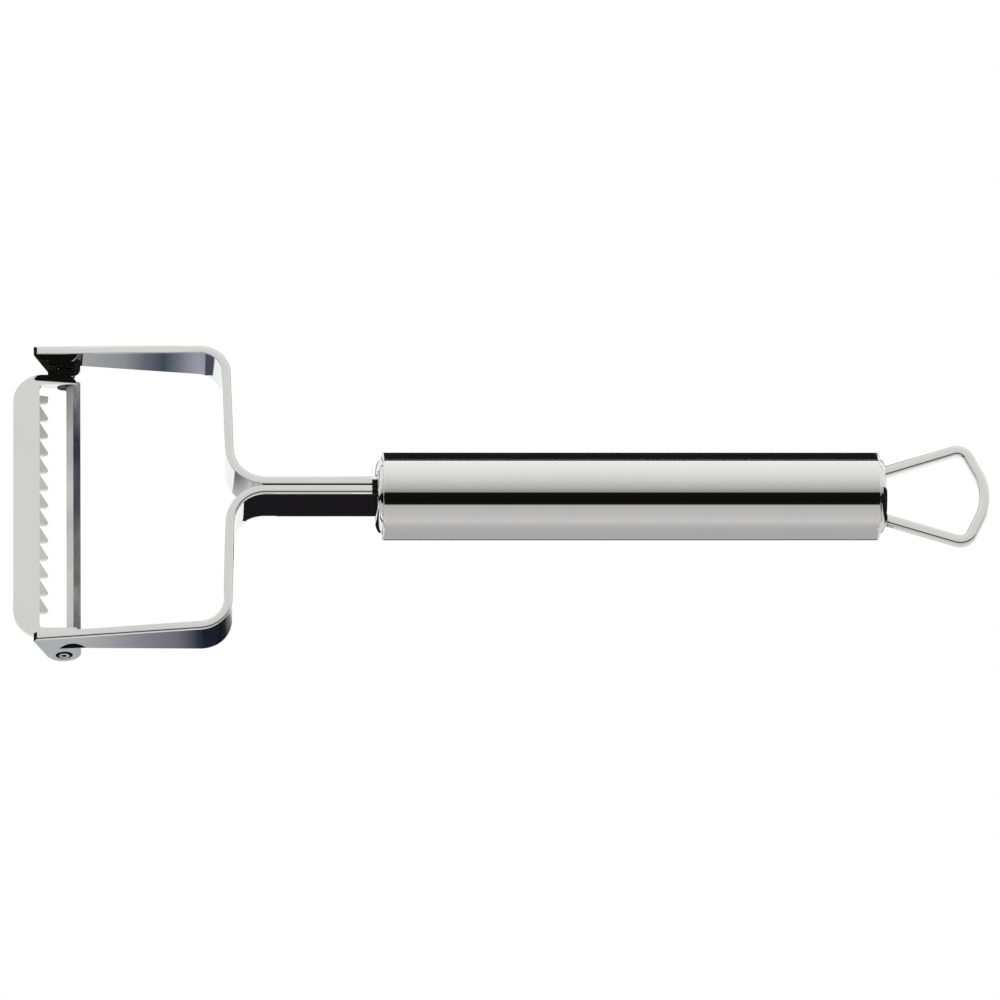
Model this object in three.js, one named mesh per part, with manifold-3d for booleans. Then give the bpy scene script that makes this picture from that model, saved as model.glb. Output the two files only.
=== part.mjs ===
// Julienne peeler: a steel tube handle, a forked head of two bent strips, and a toothed blade
// that swivels on hollow pins between the fork's ears. Millimetres, +Z up, resting on Z = 0.
// The blade is at -X, the hanging loop at +X, and the blade's pivot runs along Y.
import * as THREE from 'three';
import { mergeVertices } from 'three/addons/utils/BufferGeometryUtils.js';
import Module from 'manifold-3d';

const wasm = await Module();
wasm.setup();

// Fits
const FIT = 0.3;                // clearance between pieces that seat in each other
const NECK_GAP = 0.3;           // parting gap between the two strips along the neck

// Handle tube
const TUBE_DIAMETER = 18;
const TUBE_WALL = 1;
const TUBE_LENGTH = 102;
const TUBE_RIM_ROUND = 0.4;     // rounding on the tube's two rims
const HANDLE_FRONT_X = -24.5;   // front rim of the tube

// End caps
const CAP_DOME = 1.5;           // how far a cap bulges past the tube's rim
const CAP_DEPTH = 6;            // how deep a cap sits in the tube

// Fork strips
const STRIP_THICKNESS = 1.8;
const STRIP_WIDTH = 12;
const TANG_LENGTH = 30;         // stretch of strip inside the handle
const NECK_LENGTH = 31.1;       // tube rim to the legs of the fork
const NECK_BEND = 7.4;          // bend radii at mid thickness
const CORNER_BEND = 5.8;
const LEG_LEAN = THREE.MathUtils.degToRad(1.5);
const ARM_SPLAY = THREE.MathUtils.degToRad(1.9);
const HEAD_WIDTH = 66;          // over both arms, at the pivot
const TAPER_LEAD = 2.8;         // the strips start to narrow this far ahead of the legs
const TAPER_ANGLE = THREE.MathUtils.degToRad(5.14);

// Ears at the ends of the arms
const PIVOT_REACH = 65.1;       // tube rim to the pivot axis
const PIVOT_HEIGHT = 3.2;       // pivot axis above the surface the tool lies on
const TIP_REACH = 6.2;          // pivot axis to the arm's pointed tip
const TIP_DEPTH = 0.7;
const LOBE_RADIUS = 3.4;
const LOBE_STEP = 1.1;          // slope from the arm's lower edge into the lobe
const RECESS_RADIUS = 4.1;      // scoop pressed into the ear's outer face, above the lobe
const RECESS_DEPTH = 1.1;
const RECESS_TILT = THREE.MathUtils.degToRad(27);
const RECESS_SHIFT = 1.8;       // pivot axis to the middle of the scoop
const RECESS_HEIGHT = 6.5;      // the scoop's lower border above the surface the tool lies on

// Pivot pins
const PIN_DIAMETER = 2.2;
const PIN_BORE = 1.1;
const PIN_PLAY = 0.5;           // play of a pin in the ear's hole, all round
const PIN_PROUD = 0.15;         // how far a pin's end stands out of the ear
const PIN_SEAT_DEPTH = 2.1;     // length of a pin inside the blade's eye

// Blade
const BLADE_THICKNESS = 1;
const BLADE_RISE = 1.55;        // blade's upper face above the pivot axis
const BLADE_END_PLAY = 1.5;     // gap between the blade's end and the ear
const TAB_FRONT = 3.3;          // tab at each end that carries the eye, to the ear
const TAB_REAR = 2.3;
const FRONT_REACH = 10.4;       // pivot axis to the blade's front edge
const FRONT_CORNER = 6.1;
const REAR_CORNER = 2.4;
const SLOT_FRONT_REACH = 5;     // pivot axis to the toothed side of the slot
const SLOT_END_LAND = 2.2;      // blade metal left beyond each end of the slot
const SLOT_CORNER = 0.8;
const EYE_WALL = 0.35;
const LIP_DEPTH = 1.9;          // lip turned down at each end of the slot
const LIP_THICKNESS = 0.9;
const TOOTH_PITCH = 3.95;
const TOOTH_ROW_MARGIN = 2;     // slot length kept free of teeth, both ends together
const TOOTH_LENGTH = 1.85;
const TOOTH_BASE = 3.1;         // root of the sloped flank, along the slot
const TOOTH_TIP = 0.35;
const TOOTH_UNDERCUT = 0.4;
const FIRST_TOOTH_BASE = 1.3;
const TOOTH_DROOP = THREE.MathUtils.degToRad(18);
const TOOTH_ROOT_LAP = 0.2;     // how far a tooth's root runs into the plate

// Rear rail of the blade: a ground edge along the slot and a flank bent down
const RAIL_EDGE_REACH = 0.5;    // pivot axis to the ground edge
const RAIL_RIDGE_REACH = 1.9;
const RAIL_FLANK = 1.5;
const RAIL_DROP = 1.46;
const RAIL_EDGE_DROP = 0.75;
const RAIL_EDGE_THICKNESS = 0.2;
const RAIL_END_GAP = 1.2;

// Hanging loop
const WIRE_WIDTH = 2.2;
const WIRE_ROUND = 0.55;
const LOOP_REACH = 22.9;        // tube rim to the far side of the loop
const LEG_RIM_LAND = 0.9;       // cap metal left outside each leg of the wire
const LEG_DEPTH = 14;           // wire inside the tube
const LEG_SPLAY = THREE.MathUtils.degToRad(18);
const BOW_ANGLE = THREE.MathUtils.degToRad(64);
const BOW_BEND = 11;
const LOOP_CORNER = 2.7;
const LEG_BEND = 2.5;

// Pieces hidden in the handle
const PLUG_LENGTH = 20;         // block that grips the strips
const PLUG_SETBACK = 8;         // tube rim to that block
const CROSS_PIN_DIAMETER = 3;
const CROSS_PIN_SHORT = 0.5;    // each end of the cross pin lies this far inside the block
const LOOP_BLOCK_LENGTH = 8;    // block that grips the loop's legs

const ROUND_SIDES = 48;
const SMALL_SIDES = 24;
const BEND_STEPS = 8;
const LOOP_STEPS = 72;
const WIRE_CORNER_STEPS = 1;

// Places worked out from the sizes, with the handle's axis at Z = 0
const axisHeight = TUBE_DIAMETER / 2;
const tubeBore = axisHeight - TUBE_WALL;
const plugRadius = tubeBore - FIT;
const handleRearX = HANDLE_FRONT_X + TUBE_LENGTH;
const tangEndX = HANDLE_FRONT_X + TANG_LENGTH;
const legX = HANDLE_FRONT_X - NECK_LENGTH;
const taperX = legX + TAPER_LEAD;
const pivotX = HANDLE_FRONT_X - PIVOT_REACH;
const pivotZ = PIVOT_HEIGHT - axisHeight;
const tipX = pivotX - TIP_REACH;
const neckY = (NECK_GAP + STRIP_THICKNESS) / 2;
const armY = (HEAD_WIDTH - STRIP_THICKNESS) / 2;
const earInnerY = HEAD_WIDTH / 2 - STRIP_THICKNESS;
const bladeEndY = earInnerY - BLADE_END_PLAY;
const tabEndY = earInnerY - FIT;
const slotEndY = bladeEndY - SLOT_END_LAND;
const toothCount = Math.floor((2 * slotEndY - TOOTH_ROW_MARGIN) / TOOTH_PITCH);
const bladeTopZ = pivotZ + BLADE_RISE;
const pinRadius = PIN_DIAMETER / 2;
const holeRadius = pinRadius + FIT;
const eyeRadius = holeRadius + EYE_WALL;
const pinEndY = HEAD_WIDTH / 2 + PIN_PROUD;
const legY = plugRadius - LEG_RIM_LAND - FIT - WIRE_WIDTH / 2;
const crossPinX = HANDLE_FRONT_X + PLUG_SETBACK + PLUG_LENGTH / 2;

const polished = new THREE.MeshStandardMaterial({ color: 0xd2d3d5, roughness: 0.08, metalness: 1 });
const satin = new THREE.MeshStandardMaterial({ color: 0xc4c6c8, roughness: 0.25, metalness: 1 });
const plain = new THREE.MeshStandardMaterial({ color: 0x9a9c9f, roughness: 0.45, metalness: 1 });

// Boolean joins and cuts
function solid(geometry) {
  const bare = geometry.clone();
  bare.deleteAttribute('normal');
  bare.deleteAttribute('uv');
  const merged = mergeVertices(bare, 1e-5);
  const vertProperties = new Float32Array(merged.attributes.position.array);
  const triVerts = new Uint32Array(merged.index.array);
  return new wasm.Manifold(new wasm.Mesh({ numProp: 3, vertProperties, triVerts }));
}

function surface(body) {
  const mesh = body.getMesh();
  const geometry = new THREE.BufferGeometry();
  geometry.setAttribute('position', new THREE.BufferAttribute(mesh.vertProperties, 3));
  geometry.setIndex(new THREE.BufferAttribute(mesh.triVerts, 1));
  geometry.computeVertexNormals();
  return geometry;
}

// A straight prism along Z, or along Y with the outline drawn in X and Z
function prismZ(shape, low, high) {
  const options = { depth: high - low, bevelEnabled: false, curveSegments: BEND_STEPS };
  return new THREE.ExtrudeGeometry(shape, options).translate(0, 0, low);
}

function prismY(shape, low, high) {
  const options = { depth: high - low, bevelEnabled: false, curveSegments: BEND_STEPS };
  return new THREE.ExtrudeGeometry(shape, options).rotateX(Math.PI / 2).translate(0, high, 0);
}

// Round pieces about the X axis, from a profile of [radius, x] points
function turned(profile) {
  const points = profile.map(([radius, x]) => new THREE.Vector2(radius, x));
  return new THREE.LatheGeometry(points, ROUND_SIDES).rotateZ(-Math.PI / 2);
}

// Round rod along Y
function rodY(radius, low, high, x, z) {
  const rod = new THREE.CylinderGeometry(radius, radius, high - low, SMALL_SIDES);
  return rod.translate(x, (low + high) / 2, z);
}

function box(low, high) {
  const size = high.map((value, axis) => value - low[axis]);
  const middle = high.map((value, axis) => (value + low[axis]) / 2);
  return new THREE.BoxGeometry(...size).translate(...middle);
}

// A path through corners, each rounded to its own radius
function roundedPath(corners, radii) {
  const path = new THREE.Path();
  path.moveTo(corners[0].x, corners[0].y);
  radii.forEach((radius, index) => {
    const corner = corners[index + 1];
    const back = corners[index].clone().sub(corner).normalize();
    const ahead = corners[index + 2].clone().sub(corner).normalize();
    const half = Math.acos(back.dot(ahead)) / 2;
    const start = corner.clone().addScaledVector(back, radius / Math.tan(half));
    const end = corner.clone().addScaledVector(ahead, radius / Math.tan(half));
    const inward = back.clone().add(ahead).normalize();
    const centre = corner.clone().addScaledVector(inward, radius / Math.sin(half));
    const from = start.clone().sub(centre).angle();
    const to = end.clone().sub(centre).angle();
    path.lineTo(start.x, start.y);
    path.absarc(centre.x, centre.y, radius, from, to, back.cross(ahead) > 0);
  });
  const last = corners[corners.length - 1];
  path.lineTo(last.x, last.y);
  return path;
}

// The outline of a strip of even thickness that follows a path
function stripShape(path, thickness) {
  const points = path.getPoints(BEND_STEPS);
  const clean = points.filter((point, index) => index === 0 || point.distanceTo(points[index - 1]) > 1e-4);
  const sides = [[], []];
  clean.forEach((point, index) => {
    const before = clean[Math.max(index - 1, 0)];
    const after = clean[Math.min(index + 1, clean.length - 1)];
    const along = after.clone().sub(before).normalize();
    const across = new THREE.Vector2(-along.y, along.x).multiplyScalar(thickness / 2);
    sides[0].push(point.clone().add(across));
    sides[1].push(point.clone().sub(across));
  });
  return new THREE.Shape([...sides[0], ...sides[1].reverse()]);
}

// Handle tube with softly rounded rims
function handleTube() {
  const rim = TUBE_RIM_ROUND * (1 - Math.SQRT1_2);
  const profile = [
    [tubeBore, HANDLE_FRONT_X],
    [axisHeight - TUBE_RIM_ROUND, HANDLE_FRONT_X],
    [axisHeight - rim, HANDLE_FRONT_X + rim],
    [axisHeight, HANDLE_FRONT_X + TUBE_RIM_ROUND],
    [axisHeight, handleRearX - TUBE_RIM_ROUND],
    [axisHeight - rim, handleRearX - rim],
    [axisHeight - TUBE_RIM_ROUND, handleRearX],
    [tubeBore, handleRearX],
    [tubeBore, HANDLE_FRONT_X],
  ];
  return turned(profile);
}

// A domed cap whose rim lies at rimX, with its bulge towards side (-1 front, +1 rear)
function domedCap(rimX, side) {
  const profile = [[0, rimX - side * CAP_DEPTH], [plugRadius, rimX - side * CAP_DEPTH]];
  for (let step = 0; step < BEND_STEPS; step += 1) {
    const angle = (Math.PI / 2) * (1 - step / BEND_STEPS);
    profile.push([plugRadius * Math.sin(angle), rimX + side * CAP_DOME * Math.cos(angle)]);
  }
  profile.push([0, rimX + side * CAP_DOME]);
  return turned(side > 0 ? profile : profile.reverse());
}

// The slot that both strips pass through, in the front cap and in the block behind it
function tangSlot(lowX, highX) {
  const halfY = NECK_GAP / 2 + STRIP_THICKNESS + FIT;
  const halfZ = STRIP_WIDTH / 2 + FIT;
  return box([lowX, -halfY, -halfZ], [highX, halfY, halfZ]);
}

function frontCap() {
  const slot = tangSlot(HANDLE_FRONT_X - 2 * CAP_DOME, HANDLE_FRONT_X + 2 * CAP_DEPTH);
  return surface(solid(domedCap(HANDLE_FRONT_X, -1)).subtract(solid(slot)));
}

function tangPlug() {
  const low = HANDLE_FRONT_X + PLUG_SETBACK;
  const high = low + PLUG_LENGTH;
  const block = solid(turned([[0, low], [plugRadius, low], [plugRadius, high], [0, high]]));
  const slotted = block.subtract(solid(tangSlot(low - FIT, high + FIT)));
  const hole = rodY(CROSS_PIN_DIAMETER / 2 + FIT, -TUBE_DIAMETER, TUBE_DIAMETER, crossPinX, 0);
  return surface(slotted.subtract(solid(hole)));
}

function crossPin() {
  const half = Math.sqrt(plugRadius ** 2 - (CROSS_PIN_DIAMETER / 2) ** 2) - CROSS_PIN_SHORT;
  return rodY(CROSS_PIN_DIAMETER / 2, -half, half, crossPinX, 0);
}

// Fork strips
function armPlanShape(side) {
  const cornerRunY = armY - Math.tan(ARM_SPLAY) * (legX - pivotX);
  const cornerX = legX - Math.tan(LEG_LEAN) * (cornerRunY - neckY);
  const endX = tipX - STRIP_WIDTH;
  const endY = armY + Math.tan(ARM_SPLAY) * (pivotX - endX);
  const corners = [[tangEndX, neckY], [legX, neckY], [cornerX, cornerRunY], [endX, endY]];
  const placed = corners.map(([x, y]) => new THREE.Vector2(x, side * y));
  return stripShape(roundedPath(placed, [NECK_BEND, CORNER_BEND]), STRIP_THICKNESS);
}

function armSideShape() {
  const half = STRIP_WIDTH / 2;
  const edgeZ = (x) => half - Math.tan(TAPER_ANGLE) * (taperX - x);
  const tipLowZ = edgeZ(tipX) - TIP_DEPTH;
  const lobeZ = LOBE_RADIUS - axisHeight;
  const toTip = new THREE.Vector2(tipX - pivotX, tipLowZ - lobeZ);
  const tangent = toTip.angle() + Math.acos(LOBE_RADIUS / toTip.length());
  const lobeBackX = pivotX + LOBE_RADIUS;
  const shape = new THREE.Shape();
  shape.moveTo(tangEndX, half);
  shape.lineTo(taperX, half);
  shape.lineTo(tipX, edgeZ(tipX));
  shape.lineTo(tipX, tipLowZ);
  shape.absarc(pivotX, lobeZ, LOBE_RADIUS, tangent, 2 * Math.PI, false);
  shape.lineTo(lobeBackX, -edgeZ(lobeBackX) - LOBE_STEP);
  shape.lineTo(lobeBackX + LOBE_STEP, -edgeZ(lobeBackX + LOBE_STEP));
  shape.lineTo(taperX, -half);
  shape.lineTo(tangEndX, -half);
  return shape;
}

// The scoop is cut with a round bar whose flat end makes the ledge under it
function earRecess(side) {
  const bar = new THREE.CylinderGeometry(RECESS_RADIUS, RECESS_RADIUS, STRIP_WIDTH, ROUND_SIDES);
  bar.translate(0, STRIP_WIDTH / 2, RECESS_DEPTH - RECESS_RADIUS).rotateX(Math.PI / 2 - RECESS_TILT);
  if (side < 0) bar.rotateZ(Math.PI);
  return bar.translate(pivotX + RECESS_SHIFT, side * HEAD_WIDTH / 2, RECESS_HEIGHT - axisHeight);
}

function forkArm(side) {
  const reachZ = TUBE_DIAMETER;
  const plan = solid(prismZ(armPlanShape(side), -reachZ, reachZ));
  const profile = solid(prismY(armSideShape(), -HEAD_WIDTH, HEAD_WIDTH));
  const pivotHole = rodY(pinRadius + PIN_PLAY, -HEAD_WIDTH, HEAD_WIDTH, pivotX, pivotZ);
  const pinHole = rodY(CROSS_PIN_DIAMETER / 2 + FIT, -TUBE_DIAMETER, TUBE_DIAMETER, crossPinX, 0);
  const strip = plan.intersect(profile).subtract(solid(earRecess(side)));
  return surface(strip.subtract(solid(pivotHole)).subtract(solid(pinHole)));
}

// Blade
function bladeOutline() {
  const front = pivotX - FRONT_REACH;
  const rear = pivotX + RAIL_RIDGE_REACH + RAIL_FLANK / 2;
  const shape = new THREE.Shape();
  shape.moveTo(rear, REAR_CORNER - bladeEndY);
  shape.lineTo(rear, bladeEndY - REAR_CORNER);
  shape.absarc(rear - REAR_CORNER, bladeEndY - REAR_CORNER, REAR_CORNER, 0, Math.PI / 2, false);
  shape.absarc(front + FRONT_CORNER, bladeEndY - FRONT_CORNER, FRONT_CORNER, Math.PI / 2, Math.PI, false);
  shape.absarc(front + FRONT_CORNER, FRONT_CORNER - bladeEndY, FRONT_CORNER, Math.PI, 1.5 * Math.PI, false);
  shape.absarc(rear - REAR_CORNER, REAR_CORNER - bladeEndY, REAR_CORNER, 1.5 * Math.PI, 2 * Math.PI, false);
  return shape;
}

// The slot runs out past the plate's rear side, where only the rail closes it
function slotOutline() {
  const front = pivotX - SLOT_FRONT_REACH;
  const rear = pivotX + FRONT_REACH;
  const slot = new THREE.Shape();
  slot.moveTo(rear, -slotEndY);
  slot.lineTo(rear, slotEndY);
  slot.absarc(front + SLOT_CORNER, slotEndY - SLOT_CORNER, SLOT_CORNER, Math.PI / 2, Math.PI, false);
  slot.absarc(front + SLOT_CORNER, SLOT_CORNER - slotEndY, SLOT_CORNER, Math.PI, 1.5 * Math.PI, false);
  return slot;
}

// A tooth leans down from the plate, so its tip lies lower than its root
function tooth(index) {
  const lowY = TOOTH_PITCH * ((toothCount - 1) / 2 - index);
  const base = index === 0 ? FIRST_TOOTH_BASE : TOOTH_BASE;
  const tipTop = index === 0 ? FIRST_TOOTH_BASE : TOOTH_TIP;
  const shape = new THREE.Shape();
  shape.moveTo(-TOOTH_ROOT_LAP, lowY - TOOTH_UNDERCUT);
  shape.lineTo(0, lowY - TOOTH_UNDERCUT);
  shape.lineTo(TOOTH_LENGTH, lowY);
  shape.lineTo(TOOTH_LENGTH, lowY + tipTop);
  shape.lineTo(0, lowY + base);
  shape.lineTo(-TOOTH_ROOT_LAP, lowY + base);
  const sunk = bladeTopZ - TOOTH_ROOT_LAP * Math.sin(TOOTH_DROOP);
  const prism = prismZ(shape, -BLADE_THICKNESS, 0).rotateY(TOOTH_DROOP);
  return prism.translate(pivotX - SLOT_FRONT_REACH, 0, sunk);
}

function railShape() {
  const edgeX = pivotX + RAIL_EDGE_REACH;
  const ridgeX = pivotX + RAIL_RIDGE_REACH;
  const step = BLADE_THICKNESS * Math.SQRT1_2;
  const shape = new THREE.Shape();
  shape.moveTo(edgeX, bladeTopZ - RAIL_EDGE_DROP);
  shape.lineTo(edgeX, bladeTopZ - RAIL_EDGE_DROP - RAIL_EDGE_THICKNESS);
  shape.lineTo(ridgeX - step, bladeTopZ - BLADE_THICKNESS);
  shape.lineTo(ridgeX + RAIL_FLANK - step, bladeTopZ - RAIL_DROP - step);
  shape.lineTo(ridgeX + RAIL_FLANK, bladeTopZ - RAIL_DROP);
  shape.lineTo(ridgeX, bladeTopZ);
  return shape;
}

// A tab at each end of the plate, and an eye rolled under it for the pin
function endTab(side) {
  const [low, high] = side > 0 ? [slotEndY, tabEndY] : [-tabEndY, -slotEndY];
  const [tabLow, tabHigh] = side > 0 ? [bladeEndY - FIT, tabEndY] : [-tabEndY, FIT - bladeEndY];
  const tab = box(
    [pivotX - TAB_FRONT, tabLow, bladeTopZ - BLADE_THICKNESS],
    [pivotX + TAB_REAR, tabHigh, bladeTopZ],
  );
  return solid(rodY(eyeRadius, low, high, pivotX, pivotZ)).add(solid(tab));
}

// The lip runs from the toothed side to the eye
function endLip(side) {
  const low = side > 0 ? slotEndY : -slotEndY - LIP_THICKNESS;
  const frontX = pivotX - SLOT_FRONT_REACH + SLOT_CORNER;
  const topZ = bladeTopZ - BLADE_THICKNESS / 2;
  return box([frontX, low, bladeTopZ - LIP_DEPTH], [pivotX, low + LIP_THICKNESS, topZ]);
}

function blade() {
  const railEnd = bladeEndY - RAIL_END_GAP;
  const plate = solid(prismZ(bladeOutline(), bladeTopZ - BLADE_THICKNESS, bladeTopZ));
  const slot = solid(prismZ(slotOutline(), -TUBE_DIAMETER, TUBE_DIAMETER));
  let body = plate.subtract(slot).add(solid(prismY(railShape(), -railEnd, railEnd)));
  for (let index = 0; index < toothCount; index += 1) {
    body = body.add(solid(tooth(index)));
  }
  for (const side of [-1, 1]) {
    const [low, high] = side > 0 ? [slotEndY, tabEndY] : [-tabEndY, -slotEndY];
    const bore = solid(rodY(holeRadius, low - FIT, high + FIT, pivotX, pivotZ));
    body = body.add(endTab(side)).add(solid(endLip(side))).subtract(bore);
  }
  return surface(body);
}

// Hollow pin through an ear and into the blade's eye
function pivotPin(side) {
  const inner = bladeEndY - PIN_SEAT_DEPTH;
  const [low, high] = side > 0 ? [inner, pinEndY] : [-pinEndY, -inner];
  const rod = solid(rodY(pinRadius, low, high, pivotX, pivotZ));
  return surface(rod.subtract(solid(rodY(PIN_BORE / 2, low - FIT, high + FIT, pivotX, pivotZ))));
}

// Hanging loop: square wire with rounded edges, bent flat
class FlatCurve extends THREE.Curve {
  constructor(path) {
    super();
    this.path = path;
  }

  getPoint(t, target = new THREE.Vector3()) {
    const point = this.path.getPoint(t);
    return target.set(point.x, point.y, 0);
  }
}

function loopPath() {
  const startX = handleRearX - LEG_DEPTH;
  const bendX = handleRearX + CAP_DOME;
  const turn = Math.PI / 2 - BOW_ANGLE;
  const apexX = handleRearX + LOOP_REACH - WIRE_WIDTH / 2;
  const peakX = apexX + BOW_BEND * (1 / Math.cos(turn) - 1);
  const cornerRun = (Math.tan(BOW_ANGLE) * (peakX - bendX) - legY)
    / (Math.tan(BOW_ANGLE) + Math.tan(LEG_SPLAY));
  const cornerX = bendX + cornerRun;
  const cornerY = legY + Math.tan(LEG_SPLAY) * cornerRun;
  const upper = [[startX, legY], [bendX, legY], [cornerX, cornerY]];
  const lower = upper.map(([x, y]) => [x, -y]).reverse();
  const corners = [...upper, [peakX, 0], ...lower].map(([x, y]) => new THREE.Vector2(x, y));
  return roundedPath(corners, [LEG_BEND, LOOP_CORNER, BOW_BEND, LOOP_CORNER, LEG_BEND]);
}

function wireShape(width, round) {
  const flat = width / 2 - round;
  const shape = new THREE.Shape();
  shape.absarc(flat, flat, round, 0, Math.PI / 2, false);
  shape.absarc(-flat, flat, round, Math.PI / 2, Math.PI, false);
  shape.absarc(-flat, -flat, round, Math.PI, 1.5 * Math.PI, false);
  shape.absarc(flat, -flat, round, 1.5 * Math.PI, 2 * Math.PI, false);
  return shape;
}

function hangingLoop() {
  const extrudePath = new FlatCurve(loopPath());
  const options = { extrudePath, steps: LOOP_STEPS, curveSegments: WIRE_CORNER_STEPS };
  return new THREE.ExtrudeGeometry(wireShape(WIRE_WIDTH, WIRE_ROUND), options);
}

// Square holes for the wire's legs, with a mouth that follows the splayed legs
function legHoles(lowX, highX, mouth) {
  const half = WIRE_WIDTH / 2 + FIT;
  const holes = [-1, 1].map((side) => {
    const inner = side * legY - half - (side < 0 ? mouth : 0);
    const outer = side * legY + half + (side > 0 ? mouth : 0);
    return solid(box([lowX, inner, -half], [highX, outer, half]));
  });
  return holes[0].add(holes[1]);
}

function rearCap() {
  const low = handleRearX - 2 * CAP_DEPTH;
  const cap = solid(domedCap(handleRearX, 1));
  return surface(cap.subtract(legHoles(low, handleRearX + 2 * CAP_DOME, FIT)));
}

function loopBlock() {
  const high = handleRearX - CAP_DEPTH - FIT;
  const low = high - LOOP_BLOCK_LENGTH;
  const block = solid(turned([[0, low], [plugRadius, low], [plugRadius, high], [0, high]]));
  return surface(block.subtract(legHoles(low - FIT, high + FIT, 0)));
}

const peeler = new THREE.Group();
peeler.position.z = axisHeight;

function place(name, geometry, material) {
  const mesh = new THREE.Mesh(geometry, material);
  mesh.name = name;
  peeler.add(mesh);
}

place('handle_tube', handleTube(), polished);
place('front_cap', frontCap(), polished);
place('rear_cap', rearCap(), polished);
place('tang_plug', tangPlug(), plain);
place('tang_cross_pin', crossPin(), plain);
place('loop_block', loopBlock(), plain);
place('hanging_loop', hangingLoop(), polished);
place('fork_arm_left', forkArm(-1), polished);
place('fork_arm_right', forkArm(1), polished);
place('julienne_blade', blade(), satin);
place('pivot_pin_left', pivotPin(-1), satin);
place('pivot_pin_right', pivotPin(1), satin);

export default peeler;
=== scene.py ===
# Julienne peeler: a polished tube handle, a fork bent from two steel strips, and a toothed blade that
# swivels on rolled pins between the fork's ears. Metres; +X towards the hanging loop, +Z up.
import math

import bmesh
import bpy
from mathutils import Matrix, Vector


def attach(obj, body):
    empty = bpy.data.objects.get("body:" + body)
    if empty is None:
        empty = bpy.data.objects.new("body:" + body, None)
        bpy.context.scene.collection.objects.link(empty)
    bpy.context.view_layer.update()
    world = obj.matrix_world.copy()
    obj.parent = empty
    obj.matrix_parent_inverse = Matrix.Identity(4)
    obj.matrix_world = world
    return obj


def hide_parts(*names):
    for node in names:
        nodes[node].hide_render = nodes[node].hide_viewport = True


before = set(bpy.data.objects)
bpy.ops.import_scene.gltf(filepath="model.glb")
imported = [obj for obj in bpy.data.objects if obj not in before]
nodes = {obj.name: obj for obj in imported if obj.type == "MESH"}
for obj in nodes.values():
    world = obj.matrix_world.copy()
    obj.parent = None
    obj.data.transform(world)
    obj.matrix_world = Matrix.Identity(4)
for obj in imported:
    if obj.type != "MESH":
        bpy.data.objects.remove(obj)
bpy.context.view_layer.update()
MM = 0.001


# Handle tube: drawn stainless tube, 18 mm across with a 1 mm wall, cut square, its rims rounded over
# and the whole polished to a mirror. The fork's end cap closes its front and the loop's cap its rear.
AXIS_Z = 9 * MM
TUBE_RADIUS = 9 * MM
TUBE_WALL = 1 * MM
TUBE_FRONT_X = -24.5 * MM
TUBE_REAR_X = 77.5 * MM
TUBE_SIDES = 192
FRONT_RIM_ROUND = 0.3 * MM
REAR_RIM_ROUND = 0.5 * MM
RIM_STEPS = 6
MERGE_GAP = 0.002 * MM
TOUCH = 0.01 * MM
SOFT_ANGLE = 30
NOISE_LOW = 0.3
NOISE_HIGH = 0.7
LINE_DETAIL = 3
CLOUD_SCALE = 90
CLOUD_DETAIL = 4
MARK_DEPTH = 0.02 * MM
BRIGHT_TONES = ((0.82, 0.822, 0.825), (0.84, 0.838, 0.832))


def only(piece):
    bpy.ops.object.select_all(action="DESELECT")
    piece.select_set(True)
    bpy.context.view_layer.objects.active = piece


def settle(piece):
    only(piece)
    bpy.ops.object.transform_apply(location=True, rotation=True, scale=True)


def edit(piece):
    only(piece)
    bpy.ops.object.mode_set(mode="EDIT")


def pick(piece, kind, test):
    bpy.ops.mesh.select_mode(type=kind)
    bpy.ops.mesh.select_all(action="DESELECT")
    form = bmesh.from_edit_mesh(piece.data)
    parts = {"VERT": form.verts, "EDGE": form.edges, "FACE": form.faces}[kind]
    for part in [part for part in parts if test(part)]:
        part.select_set(True)
    form.select_flush_mode()
    bmesh.update_edit_mesh(piece.data)


def modify(piece, kind, **settings):
    only(piece)
    modifier = piece.modifiers.new(kind, kind)
    for key, value in settings.items():
        setattr(modifier, key, value)
    bpy.ops.object.modifier_apply(modifier=modifier.name)


def tidy_normals(piece):
    edit(piece)
    bpy.ops.mesh.select_all(action="SELECT")
    bpy.ops.mesh.remove_doubles(threshold=MERGE_GAP)
    bpy.ops.mesh.normals_make_consistent(inside=False)
    bpy.ops.object.mode_set(mode="OBJECT")


def smooth(piece, angle=SOFT_ANGLE):
    only(piece)
    bpy.ops.object.shade_smooth_by_angle(angle=math.radians(angle))
    modify(piece, "WEIGHTED_NORMAL", keep_sharp=True)


def cylinder_x(name, radius, low_x, high_x, sides, fill="NGON"):
    bpy.ops.object.select_all(action="DESELECT")
    bpy.ops.mesh.primitive_cylinder_add(
        vertices=sides, radius=radius, depth=high_x - low_x, end_fill_type=fill,
        location=((low_x + high_x) / 2, 0, AXIS_Z), rotation=(0, math.radians(90), 0))
    piece = bpy.context.object
    piece.name = name
    settle(piece)
    return piece


def from_axis(point):
    return math.hypot(point.y, point.z - AXIS_Z)


def on_outer_rim(edge, end_x):
    at_end = all(abs(vertex.co.x - end_x) < TOUCH for vertex in edge.verts)
    return at_end and all(from_axis(vertex.co) > TUBE_RADIUS - TOUCH for vertex in edge.verts)


def link(tree, source, output, target, socket):
    tree.links.new(source.outputs[output], target.inputs[socket])


def value_map(tree, source, output, low, high):
    spread = tree.nodes.new("ShaderNodeMapRange")
    spread.inputs["From Min"].default_value = NOISE_LOW
    spread.inputs["From Max"].default_value = NOISE_HIGH
    spread.inputs["To Min"].default_value = low
    spread.inputs["To Max"].default_value = high
    link(tree, source, output, spread, "Value")
    return spread


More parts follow.
